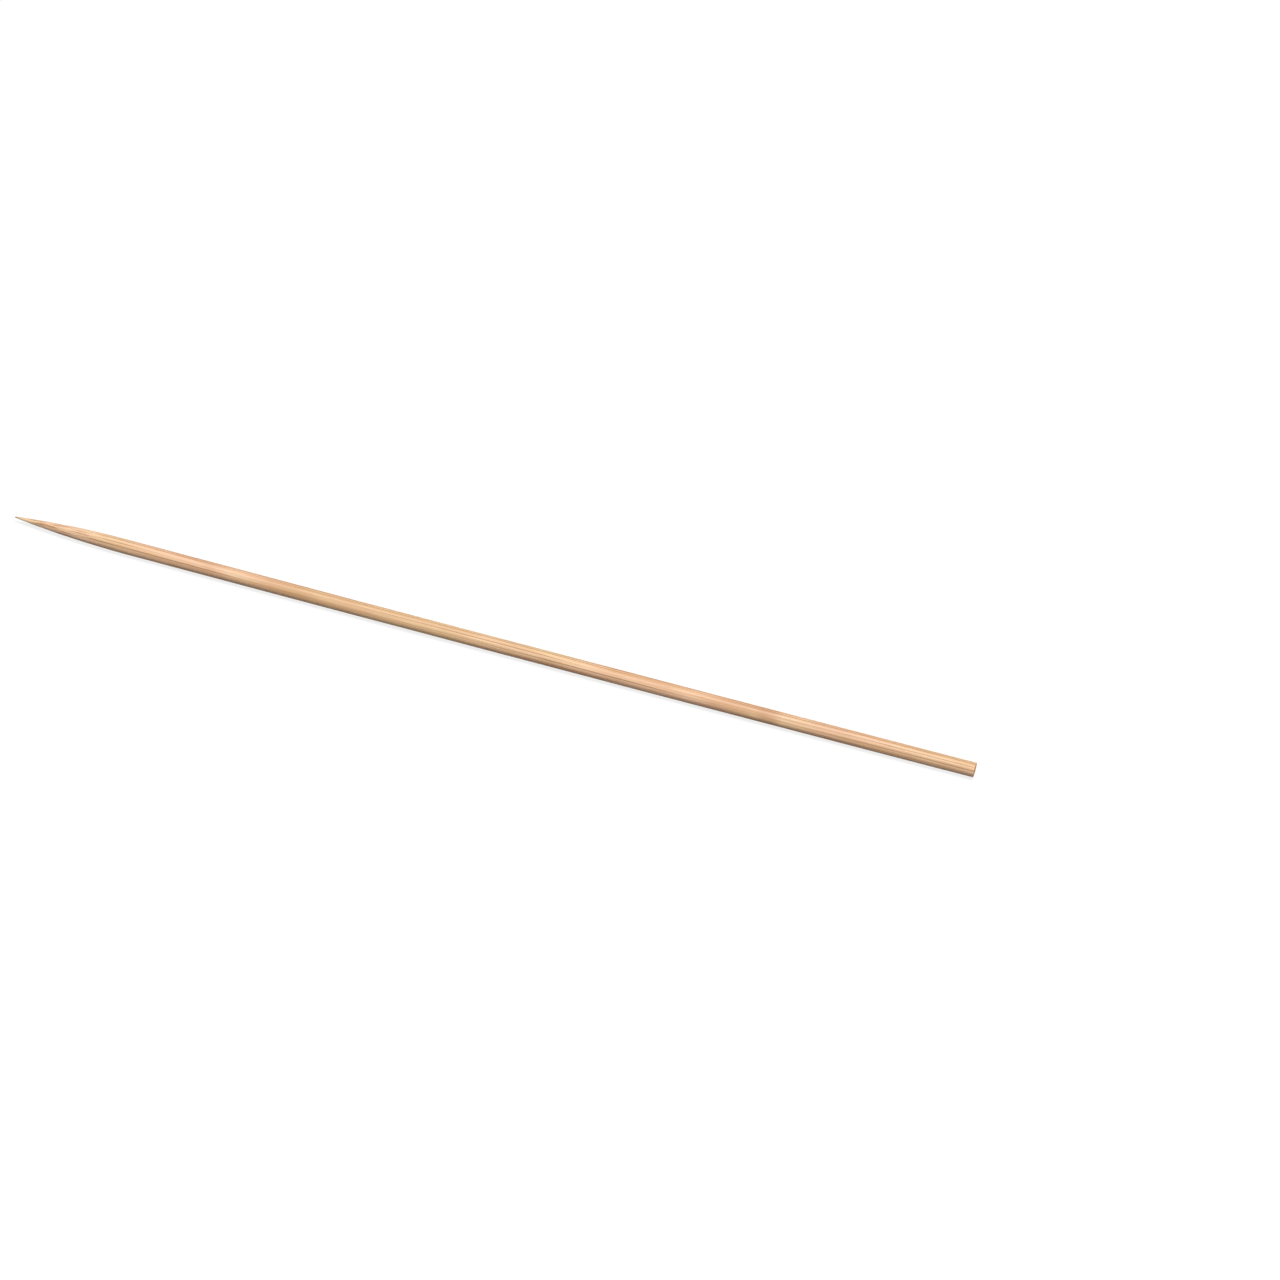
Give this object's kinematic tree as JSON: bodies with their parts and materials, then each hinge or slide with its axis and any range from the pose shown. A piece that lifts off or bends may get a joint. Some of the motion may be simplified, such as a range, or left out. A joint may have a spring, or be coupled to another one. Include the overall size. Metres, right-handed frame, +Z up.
{
  "type": "bamboo skewer",
  "caption": "Long thin round bamboo stick with a long, slowly tapered ground point at one end and a square-cut butt at the other.",
  "frame": {"origin": "middle of the stick's footprint, on the surface that it lies on", "axes": "+X along the stick from the point to the butt, +Z up, square to the surface that it lies on and to its bow"},
  "size_m": [0.2, 0.0032, 0.003],
  "materials": {
    "bamboo": "satin"
  },
  "bodies": {
    "root": {"skewer": "bamboo"}
  },
  "joints": []
}
